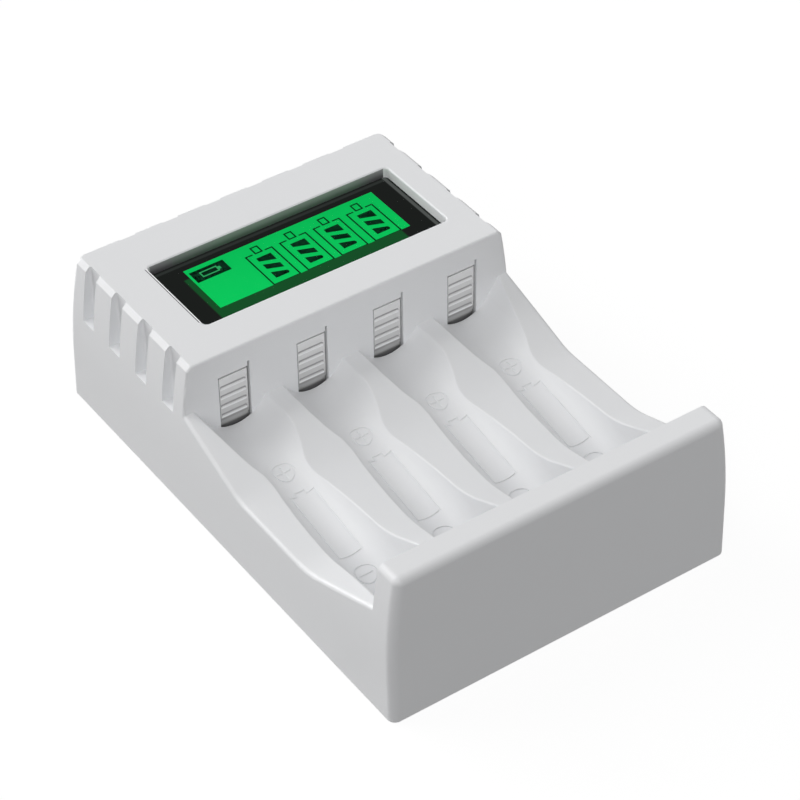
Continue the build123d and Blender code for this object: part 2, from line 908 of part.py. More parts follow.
def make_base_cover():
    """Plate that closes the case, with recesses for the feet, screw holes and slots for air."""
    inset = side_wall + cover_gap
    z = (foot_stand, base_top)
    cover = plate(width - 2 * inset, length - 2 * inset, 0, length / 2, z, cover_corner)
    for x, y in foot_places():
        cover = cover - upright(foot_radius + foot_gap, x, y, (0, foot_stand + foot_recess))
    for x, y in screw_places():
        cover = cover - upright(screw_radius + cover_gap, x, y, (0, height))
        cover = cover - upright(screw_head_radius + cover_gap, x, y, (0, foot_stand + screw_head_height))
    for i in range(slot_count):
        y = head_front + slot_setback + (i - (slot_count - 1) / 2) * slot_pitch
        for side in (-1, 1):
            slot = Pos(side * slot_spread, at(y), 0) * SlotOverall(slot_length, slot_width)
            cover = cover - extrude(slot, amount=height)
    return cover


def make_foot(x, y):
    """Rubber foot glued in its recess."""
    foot = upright(foot_radius, x, y, (0, foot_stand + foot_recess))
    return chamfer(foot.edges().sort_by(Axis.Z)[0], foot_stand / 2)


def make_screw(x, y, shank, head, z0, full_length):
    """Screw driven upwards, with a cross slot in its head."""
    radius, rise = head
    body = upright(radius, x, y, (z0, z0 + rise)) + upright(shank, x, y, (z0, z0 + full_length))
    cross = plate(1.2 * radius, drive_width, x, y, (z0 - 1, z0 + drive_depth))
    cross = cross + plate(drive_width, 1.2 * radius, x, y, (z0 - 1, z0 + drive_depth))
    return body - cross


def make_base_screws():
    """Screws that hold the base cover."""
    head = (screw_head_radius, screw_head_height)
    return [make_screw(x, y, screw_radius, head, foot_stand, screw_length) for x, y in screw_places()]


def make_board_screws():
    """Screws that hold the board to the case's posts."""
    head = (board_screw_head_radius, board_screw_head_height)
    z0 = board_bottom - board_screw_head_height
    rows = board_screw_places()
    return [make_screw(x, y, board_screw_radius, head, z0, board_screw_length) for x, y in rows]


# Lead

def make_negative_lead():
    """Insulated wire from the rod's end to the board, laid on the base cover."""
    low = base_top + lead_radius + lead_gap
    x0 = rod_half() - lead_radius
    rod_end_point = Vector(x0, at(rod_place), rod_height)
    end_x = x0 + lead_end[0]
    end_y = head_front + lead_end[1]
    points = [
        (x0, rod_place + lead_leave, low),
        (x0 + 0.4, bed_rise_start, low),
        (x0 + 0.6, (bed_rise_start + bed_fall_end) / 2, low),
        (x0 + 0.2, bed_fall_end + lead_turn, low),
        (x0 + lead_bend[0], head_front + lead_bend[1], low + lead_bend[2]),
        (x0 + lead_climb[0], head_front + lead_climb[1], low + lead_climb[2]),
        (end_x, end_y, board_bottom - lead_stub),
        (end_x, end_y, board_bottom),
    ]
    route = [Vector(x, at(y), z) for x, y, z in points]
    first = (route[0] - rod_end_point).normalized()
    route = [rod_end_point + first * (rod_radius + lead_gap), *route]
    radii = []
    for before, corner, after in zip(route, route[1:], route[2:]):
        half_turn = radians((corner - before).get_angle(after - corner)) / 2
        shorter = min((corner - before).length, (after - corner).length)
        radii.append(0.45 * shorter * cos(half_turn) / sin(half_turn))
    path = FilletPolyline(*route, radius=radii)
    return sweep(Plane(origin=path @ 0, z_dir=path % 0) * Circle(lead_radius), path=path)


# Everything

def parts():
    """Every node and its shape."""
    made = {
        "upper_housing": make_upper_housing(),
        "base_cover": make_base_cover(),
        "display_window": make_display_window(),
        "display_mask": make_display_mask(),
        "lcd_panel": make_lcd_panel(),
        "lcd_backlight": make_lcd_backlight(),
        "backlight_led": lamp_block(0.0),
        "lcd_frame": make_lcd_frame(),
        "elastomer_strip": elastomer_block(0.0, board_top),
        "circuit_board": make_circuit_board(),
        "microcontroller": make_chip(*controller_place, controller_size, controller_legs),
        "power_inductor": make_power_inductor(),
        "input_capacitor": make_can(input_can_place),
        "output_capacitor": make_can(output_can_place),
        "timing_crystal": make_timing_crystal(),
        "usb_inlet_shell": make_usb_inlet_shell(),
        "usb_inlet_tongue": make_usb_inlet_tongue(),
        "contact_rod": make_contact_rod(),
        "contact_carrier": make_contact_carrier(),
        "negative_lead": make_negative_lead(),
        "base_screws": Compound(children=make_base_screws()),
        "board_screws": Compound(children=make_board_screws()),
    }
    for i, x in enumerate(bay_centres, start=1):
        board_x = (i - (bay_count + 1) / 2) * channel_spread
        made[f"positive_contact_{i}"] = make_positive_contact(x)
        made[f"negative_contact_{i}"] = make_negative_contact(x)
        transistor = make_chip(board_x, transistor_setback, transistor_size, transistor_legs)
        made[f"charge_transistor_{i}"] = transistor
        made[f"sense_resistor_{i}"] = make_chip(board_x, resistor_setback, resistor_size)
    for i, (x, y) in enumerate(foot_places(), start=1):
        made[f"rubber_foot_{i}"] = make_foot(x, y)
    return made


os.makedirs("parts", exist_ok=True)
for name, shape in parts().items():
    export_step(shape, f"parts/{name}.step")
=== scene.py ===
from math import cos, radians, sin

import bmesh
import bpy
from mathutils import Matrix, Vector


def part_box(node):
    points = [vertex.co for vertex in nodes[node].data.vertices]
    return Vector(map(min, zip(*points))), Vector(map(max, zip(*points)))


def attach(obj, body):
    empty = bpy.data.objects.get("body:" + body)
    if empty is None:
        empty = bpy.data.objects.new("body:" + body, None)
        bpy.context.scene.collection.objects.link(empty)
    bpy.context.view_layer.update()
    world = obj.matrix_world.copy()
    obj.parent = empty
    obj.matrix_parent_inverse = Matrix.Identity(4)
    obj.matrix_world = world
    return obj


# A four-bay battery charger: white satin case, green backlit display and plated contacts.
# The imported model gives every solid; this script adds the finishes, the display's symbols, light and camera.
# The scene is in metres, in the model's own frame: +X across the bays, +Y to the head, +Z up.
# The sizes named here are in millimetres where nothing else is said, and the colours are linear.

MM = 0.001
BAY_COUNT = 4

# Camera: place and near limit in metres, angles in degrees, lens and sensor in millimetres
CAMERA_PLACE = (-0.23061, -0.34113, 0.37247)
CAMERA_AZIMUTH = -34.380
CAMERA_ELEVATION = 40.772
CAMERA_ROLL = -0.793
CAMERA_LENS = 130.36
CAMERA_SENSOR = 36.0
CAMERA_NEAR = 0.01

# Light: each sun has its strength, the direction that it comes from, and its softness in degrees
AMBIENT = 0.405
SUNS = {
    "key": (1.08, (-0.45, 0.60, 0.66), 40.0),
    "fill": (0.60, (-0.55, -0.60, 0.58), 40.0),
    "low": (1.55, (-0.30, 0.90, 0.02), 30.0),
}

# Floor: half its side in metres, its drop, the light it gives back, and the camera's lit and glowing white
FLOOR_HALF = 2.0
FLOOR_DROP = 0.02
FLOOR_BOUNCE = 0.06
FLOOR_SHADOW = 0.10
FLOOR_GLOW = 0.928

BLACK = (0.0, 0.0, 0.0)
WHITE = (1.0, 1.0, 1.0)

# Surface grain: its size, its depth and the detail of its noise
MOULDED_GRAIN = (0.3, 0.004, 3.0)
RUBBER_GRAIN = (0.15, 0.01, 3.0)
DRAWN_GRAIN = (0.12, 0.0015, 1.0)
GLASS_GRAIN = (0.2, 0.001, 3.0)
LABEL_GRAIN = (0.3, 0.001, 3.0)
PANE_WAVE = (8.0, 0.002, 0.0)
GRAIN_ROUGHNESS = 0.6

# Slow change of lightness over a surface: its size and its share
PLASTIC_CHANGE = (14.0, 0.008)
METAL_CHANGE = (3.0, 0.04)
CHANGE_DETAIL = 2.0

# Plain finishes: colour, roughness and the pieces that wear it
PLASTICS = {
    "base_plastic": ((0.80, 0.805, 0.815), 0.5, ["base_cover"]),
    "guide_acrylic": ((0.70, 0.85, 0.72), 0.3, ["lcd_backlight"]),
    "lamp_lens": ((0.85, 0.90, 0.80), 0.25, ["backlight_led"]),
    "frame_moulding": ((0.70, 0.70, 0.69), 0.5, ["lcd_frame", "contact_carrier"]),
    "elastomer_rubber": ((0.45, 0.35, 0.36), 0.7, ["elastomer_strip"]),
    "board_laminate": ((0.015, 0.14, 0.05), 0.35, ["circuit_board"]),
    "chip_epoxy": ((0.02, 0.02, 0.022), 0.55, ["microcontroller", "usb_inlet_tongue", "charge_transistor"]),
    "inductor_ferrite": ((0.06, 0.06, 0.065), 0.6, ["power_inductor"]),
    "lead_insulation": ((0.02, 0.02, 0.02), 0.5, ["negative_lead"]),
    "resistor_coat": ((0.03, 0.03, 0.035), 0.45, ["sense_resistor"]),
}
METALS = {
    "nickel_plate": ((0.60, 0.60, 0.61), 0.42, ["contact_rod", "negative_contact"]),
    "capacitor_aluminium": ((0.75, 0.76, 0.78), 0.35, ["input_capacitor", "output_capacitor"]),
    "crystal_can": ((0.70, 0.70, 0.72), 0.25, ["timing_crystal"]),
    "inlet_plate": ((0.65, 0.66, 0.68), 0.25, ["usb_inlet_shell"]),
    "screw_zinc": ((0.5, 0.5, 0.52), 0.35, ["base_screws", "board_screws"]),
}
RUBBER_GREY = (0.42, 0.42, 0.42)
RUBBER_ROUGHNESS = 0.8

# Case, and the rim that the window's sheet runs on under its roof
CASE_WHITE = (0.880, 0.887, 0.900)
CASE_ROUGHNESS = 0.42
WINDOW_RIM = 1.6

# Painted shade on the rear wall of the display's opening: its tones at the pane and above, its place, and
# depths under the top
WALL_PAINTED_SHADE = (0.10, 0.095, 0.105)
WALL_PAINTED_LIGHT = (0.34, 0.34, 0.35)
WALL_NEAR = 0.04
WALL_DEPTH = 0.2
SHADE_DEPTH = 0.3

# Painted shade line and painted highlight on the opening's left rim, measured past its wall, with their ends
# and their depth
EDGE_PAINTED_SHADE = (0.16, 0.16, 0.165)
EDGE_PAINTED_GLINT = 0.30
PAINTED_SHADE_LINE = (-0.63, -0.38)
PAINTED_HIGHLIGHT_LINE = (-0.39, 0.05)
LINE_SOFT = 0.04
LINE_ENDS = (1.1, 0.3)
LINE_END_SOFT = 0.3
LINE_DEPTH = 0.3

# Ribbed strip, with painted shade and highlights: its shade tones by the distance from its top, its painted
# shaded left edge, and the painted shade and highlight bands of its grooves
STRIP_METALLIC = 0.25
STRIP_ROUGHNESS = 0.45
STRIP_LENGTH = 13.05
STRIP_SHADE_TONES = ((0.0, 0.885), (9.4, 0.67), (9.75, 0.32), (10.2, 0.50), (11.05, 0.50), (11.55, 0.20))
STRIP_SHADED_EDGE = 0.2
STRIP_PAINTED_SHADE = (0.34, 0.34, 0.35)
STRIP_PAINTED_HIGHLIGHT = (0.97, 0.97, 0.98)
GROOVE_PITCH = 2.2
GROOVE_COUNT = 4
GROOVE_FIRST = 2.1
GROOVE_LENGTH = 5.65
GROOVE_PAINTED_SHADE = (0.0, 0.36)
GROOVE_PAINTED_HIGHLIGHT = (0.36, 0.85)
GROOVE_SOFT = 0.1

# Clear pane, and the backlit glass with its painted shade levels at the rear and at the right
PANE_TINT = (0.98, 1.0, 0.99)
PANE_ROUGHNESS = 0.03
PANE_INDEX = 1.01
PANE_GLOSS = 0.3
LCD_GREEN = (0.003, 0.565, 0.108)
LCD_BASE = (0.001, 0.02, 0.004)
LCD_ROUGHNESS = 0.25
LCD_REAR_SHADE = 0.86
LCD_RIGHT_SHADE = 0.90

# Printed mask, and how far around the glass's centre its opening is looked for, across and along
MASK_BASE = (0.003, 0.003, 0.003)
MASK_ROUGHNESS = 0.4
MASK_BLACK = (0.012, 0.0135, 0.0125)
MASK_REACH = (24.0, 8.0)

# Green ghost of the display on the mask, by its edges past the mask's opening: left, right and front, rear
MASK_GHOST = (0.009, 0.075, 0.021)
GHOST_ACROSS = (-1.5, -2.2)
GHOST_ALONG = (-4.0, -2.6)
GHOST_SOFT = 0.35

# Painted reflection of the walls on the mask: bands of light measured past the rear and the right wall of the
# case's opening
MASK_WALL_REFLECTION = (0.080, 0.086, 0.083)
MASK_FAINT_WALL_REFLECTION = (0.027, 0.031, 0.029)
SIDE_SHEEN = (-0.35, 0.6)
REAR_SHEEN = (0.05, 0.95)
SHEEN_SOFT = 0.2

# Display symbols, from the left front corner of the mask's opening
SYMBOL_DARK = (0.003, 0.022, 0.010)
SYMBOL_ROUGHNESS = 0.3
SYMBOL_RISE = 0.03
SYMBOL_LIFT = 0.005
ICON_LEFT = 12.0
ICON_PITCH = 7.79
ICON_WIDTH = 6.25
ICON_TOP = 10.45
ICON_LINE = 0.32
CAP_WIDTH = 1.8
CAP_TOP = 12.4
CAP_BREAK = 0.5
BAR_LEFT = 1.62
BARS = (
    ((0.0, 8.9), (3.3, 8.9), (3.25, 6.6), (0.0, 7.8)),
    ((0.0, 6.6), (3.2, 5.35), (3.15, 3.8), (0.0, 5.05)),
    ((0.0, 3.75), (3.0, 2.65), (3.2, 2.15), (2.95, 1.7), (0.0, 1.7)),
)

# Dark box at the left of the display, and the small cell outline in it
LABEL_BOX = (0.65, 9.0, 8.2, 12.5)
LABEL_GREEN = (0.03, 0.36, 0.11)
LABEL_LIFT = 0.04
LABEL_LINE = 0.28
LABEL_LEFT = 1.7
LABEL_RIGHT = 2.0
LABEL_MARGIN = 0.9
LABEL_CAP_LENGTH = 0.56
LABEL_CAP_INSET = 0.425

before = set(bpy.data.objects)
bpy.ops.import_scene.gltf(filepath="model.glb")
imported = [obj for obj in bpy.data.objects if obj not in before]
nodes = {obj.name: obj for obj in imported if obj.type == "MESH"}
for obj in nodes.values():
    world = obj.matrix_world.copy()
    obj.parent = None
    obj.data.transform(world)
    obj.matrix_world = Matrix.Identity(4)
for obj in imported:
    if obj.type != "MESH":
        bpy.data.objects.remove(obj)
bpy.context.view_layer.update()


# Shader helpers

def opaque(color):
    """A colour with its alpha."""
    return (*color, 1.0)


def new_material(name):
    """Material with its shader, ready for nodes."""
    material = bpy.data.materials.new(name)
    material.use_nodes = True
    return material, material.node_tree, material.node_tree.nodes["Principled BSDF"]


def set_sockets(node, values):
    """Sets a node's own sockets by name, each to a number or a colour."""
    for socket, value in values.items():
        node.inputs[socket].default_value = opaque(value) if isinstance(value, tuple) else value


def add_node(tree, kind, **values):
    """Node of a kind, with its sockets set by name."""
    node = tree.nodes.new(kind)
    set_sockets(node, values)
    return node


def calculate(tree, operation, first, second):
    """Math node on two values, each a number or a socket."""
    node = tree.nodes.new("ShaderNodeMath")
    node.operation = operation
    for place, value in enumerate((first, second)):
        if isinstance(value, (int, float)):
            node.inputs[place].default_value = value
        else:
            tree.links.new(value, node.inputs[place])
    return node.outputs[0]


def product(tree, *factors):
    """All the factors multiplied."""
    result = factors[0]
    for factor in factors[1:]:
        result = calculate(tree, "MULTIPLY", result, factor)
    return result


def between(tree, value, start, end, soft):
    """One between two limits, falling to zero over a soft edge inside them."""
    rise = calculate(tree, "DIVIDE", calculate(tree, "SUBTRACT", value, start), soft)
    fall = calculate(tree, "DIVIDE", calculate(tree, "SUBTRACT", end, value), soft)
    edge = calculate(tree, "MINIMUM", rise, fall)
    return calculate(tree, "MAXIMUM", 0.0, calculate(tree, "MINIMUM", edge, 1.0))


def mapped(tree, value, start, end, first, last, interpolation="LINEAR"):
    """A value between start and end, carried over to between first and last."""
    node = tree.nodes.new("ShaderNodeMapRange")
    node.interpolation_type = interpolation
    set_sockets(node, {"From Min": start, "From Max": end, "To Min": first, "To Max": last})
    tree.links.new(value, node.inputs["Value"])
    return node.outputs["Result"]


def mixed_color(tree, factor, first, second):
    """Mix of two colours, each given as numbers or as a socket."""
    mix = tree.nodes.new("ShaderNodeMix")
    mix.data_type = "RGBA"
    tree.links.new(factor, mix.inputs["Factor"])
    for place, color in (("A", first), ("B", second)):
        if isinstance(color, bpy.types.NodeSocket):
            tree.links.new(color, mix.inputs[place])
        else:
            mix.inputs[place].default_value = opaque(color)
    return mix.outputs["Result"]


def object_place(tree):
    """The surface point in the model's frame."""
    return tree.nodes.new("ShaderNodeTexCoord").outputs["Object"]


def object_axes(tree):
    """X, Y and Z of the surface point in the model's frame."""
    split = tree.nodes.new("ShaderNodeSeparateXYZ")
    tree.links.new(object_place(tree), split.inputs[0])
    return [split.outputs[axis] for axis in "XYZ"]


def add_grain(tree, shader, grain):
    """Fine grain of the surface, as a bump."""
    size, depth, detail = grain
    scale = 1 / (size * MM)
    noise = add_node(tree, "ShaderNodeTexNoise", Scale=scale, Detail=detail, Roughness=GRAIN_ROUGHNESS)
    bump = add_node(tree, "ShaderNodeBump", Strength=1.0, Distance=depth * MM)
    tree.links.new(object_place(tree), noise.inputs["Vector"])
    tree.links.new(noise.outputs["Fac"], bump.inputs["Height"])
    tree.links.new(bump.outputs["Normal"], shader.inputs["Normal"])


def varied(tree, color, change):
    """A colour that slowly changes in lightness over the surface."""
    size, share = change
    noise = add_node(tree, "ShaderNodeTexNoise", Scale=1 / (size * MM), Detail=CHANGE_DETAIL)
    tree.links.new(object_place(tree), noise.inputs["Vector"])
    deeper = [channel * (1 - share) for channel in color]
    paler = [min(1.0, channel * (1 + share)) for channel in color]
    return mixed_color(tree, noise.outputs["Fac"], deeper, paler)


# Plain finishes

def plastic(name, color, roughness, grain=MOULDED_GRAIN, specular=0.5):
    """Moulded plastic with a fine grain."""
    material, tree, shader = new_material(name)
    set_sockets(shader, {"Roughness": roughness, "Specular IOR Level": specular})
    tree.links.new(varied(tree, color, PLASTIC_CHANGE), shader.inputs["Base Color"])
    add_grain(tree, shader, grain)
    return material


def metal(name, color, roughness):
    """Plated metal with a fine drawn surface."""
    material, tree, shader = new_material(name)
    set_sockets(shader, {"Metallic": 1.0, "Roughness": roughness})
    tree.links.new(varied(tree, color, METAL_CHANGE), shader.inputs["Base Color"])
    add_grain(tree, shader, DRAWN_GRAIN)
    return material


# Finish of the ribbed strips, with painted shade and highlights

def painted_strip_shade(tree, down):
    """Painted shade of a strip's plate: its grey by the distance from its top, lighter at the top, darker at
    the step and towards the foot.
    """
    ramp = tree.nodes.new("ShaderNodeValToRGB")
    tree.links.new(calculate(tree, "DIVIDE", down, STRIP_LENGTH), ramp.inputs["Fac"])
    stops = ramp.color_ramp.elements
    stops.remove(stops[1])
    for number, (distance, tone) in enumerate(STRIP_SHADE_TONES):
        stop = stops[0] if number == 0 else stops.new(distance / STRIP_LENGTH)
        stop.position = distance / STRIP_LENGTH
        stop.color = opaque((tone, tone, tone))
    return ramp.outputs["Color"]


def strip_plate(name):
    """Plate of a ribbed strip: painted darker to its foot, with a painted shade line and a painted highlight
    along each groove, and a painted shaded left edge.
    """
    material, tree, shader = new_material(f"{name}_plate")
    set_sockets(shader, {"Metallic": STRIP_METALLIC, "Roughness": STRIP_ROUGHNESS})
    low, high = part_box(name)
    x, _, z = object_axes(tree)
    down = calculate(tree, "DIVIDE", calculate(tree, "SUBTRACT", high.z, z), MM)
    half_pitch = GROOVE_PITCH / 2
    shifted = calculate(tree, "ADD", down, half_pitch - GROOVE_FIRST)
    repeated = calculate(tree, "MODULO", shifted, GROOVE_PITCH)
    in_groove = calculate(tree, "SUBTRACT", repeated, half_pitch)
    middle = (low.x + high.x) / 2
    reach = GROOVE_LENGTH / 2 * MM
    grooved = product(
        tree,
        between(tree, shifted, 0.0, GROOVE_COUNT * GROOVE_PITCH, GROOVE_SOFT),
        between(tree, x, middle - reach, middle + reach, GROOVE_SOFT * MM),
    )
    color = painted_strip_shade(tree, down)
    # painted shade line on each groove's upper half, and a painted highlight on its lower lip
    for limits, tone in ((GROOVE_PAINTED_SHADE, STRIP_PAINTED_SHADE), (GROOVE_PAINTED_HIGHLIGHT, STRIP_PAINTED_HIGHLIGHT)):
        line = between(tree, in_groove, *limits, GROOVE_SOFT)
        color = mixed_color(tree, product(tree, line, grooved), color, tone)
    # painted shade along the strip's left edge
    edge = calculate(tree, "LESS_THAN", x, low.x + STRIP_SHADED_EDGE * MM)
    tree.links.new(mixed_color(tree, edge, color, STRIP_PAINTED_SHADE), shader.inputs["Base Color"])
    add_grain(tree, shader, DRAWN_GRAIN)
    return material


# Finish of the case

def opening_walls():
    """Left, front, right and rear wall of the display's opening."""
    low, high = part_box("display_window")
    rim = WINDOW_RIM * MM
    return low.x + rim, low.y + rim, high.x - rim, high.y - rim


def on_rear_wall(tree, x, y, z, top):
    """One on the rear wall of the display's opening, and zero elsewhere."""
    low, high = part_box("display_window")
    _, _, _, rear = opening_walls()
    distance = calculate(tree, "ABSOLUTE", calculate(tree, "SUBTRACT", y, rear), 0.0)
    return product(
        tree,
        calculate(tree, "LESS_THAN", distance, WALL_NEAR * MM),
        calculate(tree, "LESS_THAN", z, top - WALL_DEPTH * MM),
        calculate(tree, "GREATER_THAN", x, low.x),
        calculate(tree, "LESS_THAN", x, high.x),
    )


def painted_rim_lines(tree, x, y, z, top):
    """Where the painted shade line and the painted highlight run along the left rim of the display's opening.
    """
    left, front, _, rear = opening_walls()
    along = between(tree, y, front + LINE_ENDS[0] * MM, rear - LINE_ENDS[1] * MM, LINE_END_SOFT * MM)
    rim = product(tree, along, calculate(tree, "GREATER_THAN", z, top - LINE_DEPTH * MM))
    lines = []
    for start, end in (PAINTED_SHADE_LINE, PAINTED_HIGHLIGHT_LINE):
        across = between(tree, x, left + start * MM, left + end * MM, LINE_SOFT * MM)
        lines.append(product(tree, rim, across))
    return lines


def case_plastic():
    """White satin plastic, with painted shade on the rear wall of the display's opening, and a painted shade
    line and a painted highlight along its left rim.
    """
    material, tree, shader = new_material("case_plastic")
    set_sockets(shader, {"Roughness": CASE_ROUGHNESS, "Emission Strength": EDGE_PAINTED_GLINT})
    pane_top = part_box("display_window")[1].z
    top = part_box("upper_housing")[1].z
    x, y, z = object_axes(tree)
    # painted shade on the opening's rear wall: dark at the pane, lighter towards the head's top
    rise = mapped(tree, z, pane_top, top - SHADE_DEPTH * MM, 0.0, 1.0, "SMOOTHSTEP")
    wall = mixed_color(tree, rise, WALL_PAINTED_SHADE, WALL_PAINTED_LIGHT)
    white = varied(tree, CASE_WHITE, PLASTIC_CHANGE)
    color = mixed_color(tree, on_rear_wall(tree, x, y, z, top), white, wall)
    # painted shade line and painted highlight on the left rim; the highlight is given as a white glow
    dark, bright = painted_rim_lines(tree, x, y, z, top)
    tree.links.new(mixed_color(tree, dark, color, EDGE_PAINTED_SHADE), shader.inputs["Base Color"])
    tree.links.new(mixed_color(tree, bright, BLACK, WHITE), shader.inputs["Emission Color"])
    add_grain(tree, shader, MOULDED_GRAIN)
    return material


# Finishes of the display

def clear_pane():
    """Clear acrylic of the display window."""
    material, tree, shader = new_material("window_acrylic")
    set_sockets(shader, {
        "Base Color": PANE_TINT,
        "Roughness": PANE_ROUGHNESS,
        "IOR": PANE_INDEX,
        "Transmission Weight": 1.0,
        "Specular IOR Level": PANE_GLOSS,
    })
    add_grain(tree, shader, PANE_WAVE)
    return material


def backlit_glass():
    """Green backlit glass, with painted shade: a little dimmer to the rear and to the right."""
    material, tree, shader = new_material("lcd_green")
    low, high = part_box("lcd_panel")
    x, y, _ = object_axes(tree)
    # painted shade on the glow: dimmer to the rear and to the right
    level = product(
        tree,
        mapped(tree, y, low.y, high.y, 1.0, LCD_REAR_SHADE),
        mapped(tree, x, low.x, high.x, 1.0, LCD_RIGHT_SHADE),
    )
    tree.links.new(mixed_color(tree, level, BLACK, LCD_GREEN), shader.inputs["Emission Color"])
    set_sockets(shader, {
        "Base Color": LCD_BASE,
        "Roughness": LCD_ROUGHNESS,
        "Emission Strength": 1.0,
        "Specular IOR Level": 0.0,
    })
    add_grain(tree, shader, GLASS_GRAIN)
    return material


def mask_opening():
    """Lowest and highest corner of the mask's opening, on the glass."""
    low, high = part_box("lcd_panel")
    centre = (Vector(low) + Vector(high)) / 2
    mask = nodes["display_mask"].data
    spans = []
    for axis, reach in enumerate(MASK_REACH):
        places = [round(vertex.co[axis], 6) for vertex in mask.vertices]
        near = [place for place in places if abs(place - centre[axis]) < reach * MM]
        spans.append((min(near), max(near)))
    (left, right), (front, rear) = spans
    return Vector((left, front, high.z)), Vector((right, rear, high.z))


def printed_mask():
    """Black printed border with the display's green ghost, and a painted reflection of the walls beside it."""
    material, tree, shader = new_material("mask_print")
    low, high = mask_opening()
    x, y, _ = object_axes(tree)
    ghost = product(
        tree,
        between(tree, x, low.x + GHOST_ACROSS[0] * MM, high.x + GHOST_ACROSS[1] * MM, GHOST_SOFT * MM),
        between(tree, y, low.y + GHOST_ALONG[0] * MM, high.y + GHOST_ALONG[1] * MM, GHOST_SOFT * MM),
    )
    color = mixed_color(tree, ghost, MASK_BLACK, MASK_GHOST)
    _, _, right, rear = opening_walls()
    # painted reflection of the rear and right walls, given as glow in the print
    bands = (
        (y, rear, REAR_SHEEN, MASK_FAINT_WALL_REFLECTION),
        (x, right, SIDE_SHEEN, MASK_WALL_REFLECTION),
    )
    for value, wall, limits, sheen in bands:
        start, end = [wall + limit * MM for limit in limits]
        color = mixed_color(tree, between(tree, value, start, end, SHEEN_SOFT * MM), color, sheen)
    tree.links.new(color, shader.inputs["Emission Color"])
    set_sockets(shader, {
        "Base Color": MASK_BASE,
        "Roughness": MASK_ROUGHNESS,
        "Emission Strength": 1.0,
        "Specular IOR Level": 0.0,
    })
    return material


def bright_label():
    """Green that shows through the small cell outline."""
    material, tree, shader = new_material("lcd_label")
    set_sockets(shader, {
        "Base Color": BLACK,
        "Specular IOR Level": 0.0,
        "Emission Color": LABEL_GREEN,
        "Emission Strength": 1.0,
    })
    add_grain(tree, shader, LABEL_GRAIN)
    return material


# Display symbols

def add_prism(mesh, corners, low, high):
    """Flat prism over a polygon given in metres."""
    bottom = [mesh.verts.new((x, y, low)) for x, y in corners]
    top = [mesh.verts.new((x, y, high)) for x, y in corners]
    mesh.faces.new(top)
    mesh.faces.new(list(reversed(bottom)))
    for i in range(len(corners)):
        j = (i + 1) % len(corners)
        mesh.faces.new((bottom[i], bottom[j], top[j], top[i]))


def box_corners(x0, y0, x1, y1):
    """Corners of a rectangle."""
    return ((x0, y0), (x1, y0), (x1, y1), (x0, y1))


def outline(x0, y0, x1, y1, line):
    """Four bars around a rectangle."""
    return [
        box_corners(x0, y0, x0 + line, y1),
        box_corners(x1 - line, y0, x1, y1),
        box_corners(x0 + line, y0, x1 - line, y0 + line),
        box_corners(x0 + line, y1 - line, x1 - line, y1),
    ]


def cell_shapes(left):
    """One cell symbol: an outline that is open at its cap, the cap, and its bars."""
    line = ICON_LINE
    right = left + ICON_WIDTH
    shoulder = ICON_TOP - line
    cap_left = (left + right - CAP_WIDTH) / 2
    cap_right = cap_left + CAP_WIDTH
    shapes = [
        box_corners(left, 0.0, left + line, ICON_TOP),
        box_corners(right - line, 0.0, right, ICON_TOP),
        box_corners(left + line, 0.0, right - line, line),
        box_corners(left + line, shoulder, cap_left - CAP_BREAK, ICON_TOP),
        box_corners(cap_right + CAP_BREAK, shoulder, right - line, ICON_TOP),
    ]
    shapes += outline(cap_left, shoulder, cap_right, CAP_TOP, line)
    for bar in BARS:
        shapes.append([(left + BAR_LEFT + x, y) for x, y in bar])
    return shapes


def symbol_shapes():
    """Every dark shape of the display, from the corner of the mask's opening."""
    shapes = []
    for i in range(BAY_COUNT):
        shapes += cell_shapes(ICON_LEFT + i * ICON_PITCH)
    shapes.append(box_corners(*LABEL_BOX))
    return shapes


def label_shapes():
    """Small cell outline in the dark box."""
    x0, y0, x1, y1 = LABEL_BOX
    left = x0 + LABEL_LEFT
    right = x1 - LABEL_RIGHT
    front = y0 + LABEL_MARGIN
    rear = y1 - LABEL_MARGIN
    cap = box_corners(right, front + LABEL_CAP_INSET, right + LABEL_CAP_LENGTH, rear - LABEL_CAP_INSET)
    return [*outline(left, front, right, rear, LABEL_LINE), cap]


def make_symbols(name, shapes, lift, material):
    """One thin piece from flat shapes on the glass."""
    corner = mask_opening()[0]
    mesh = bmesh.new()
    low = corner.z + lift * MM
    for shape in shapes:
        place = [(corner.x + x * MM, corner.y + y * MM) for x, y in shape]
        add_prism(mesh, place, low, low + SYMBOL_RISE * MM)
    data = bpy.data.meshes.new(name)
    mesh.to_mesh(data)
    mesh.free()
    piece = bpy.data.objects.new(name, data)
    bpy.context.scene.collection.objects.link(piece)
    data.materials.append(material)
    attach(piece, "charger")


def make_display():
    """Symbols on the glass."""
    dark = plastic("lcd_segment", SYMBOL_DARK, SYMBOL_ROUGHNESS, specular=0.0)
    make_symbols("lcd_symbols", symbol_shapes(), SYMBOL_LIFT, dark)
    make_symbols("lcd_label_mark", label_shapes(), LABEL_LIFT, bright_label())


# Finish of every node

def pieces_named(name):
    """The node of a name, or its numbered nodes: one for each bay, and as many feet."""
    return [name] if name in nodes else [f"{name}_{i}" for i in range(1, BAY_COUNT + 1)]


def dress(name, material):
    """Gives the nodes of a name their material."""
    for piece_name in pieces_named(name):
        piece = nodes[piece_name]
        piece.data.materials.clear()
        piece.data.materials.append(material)


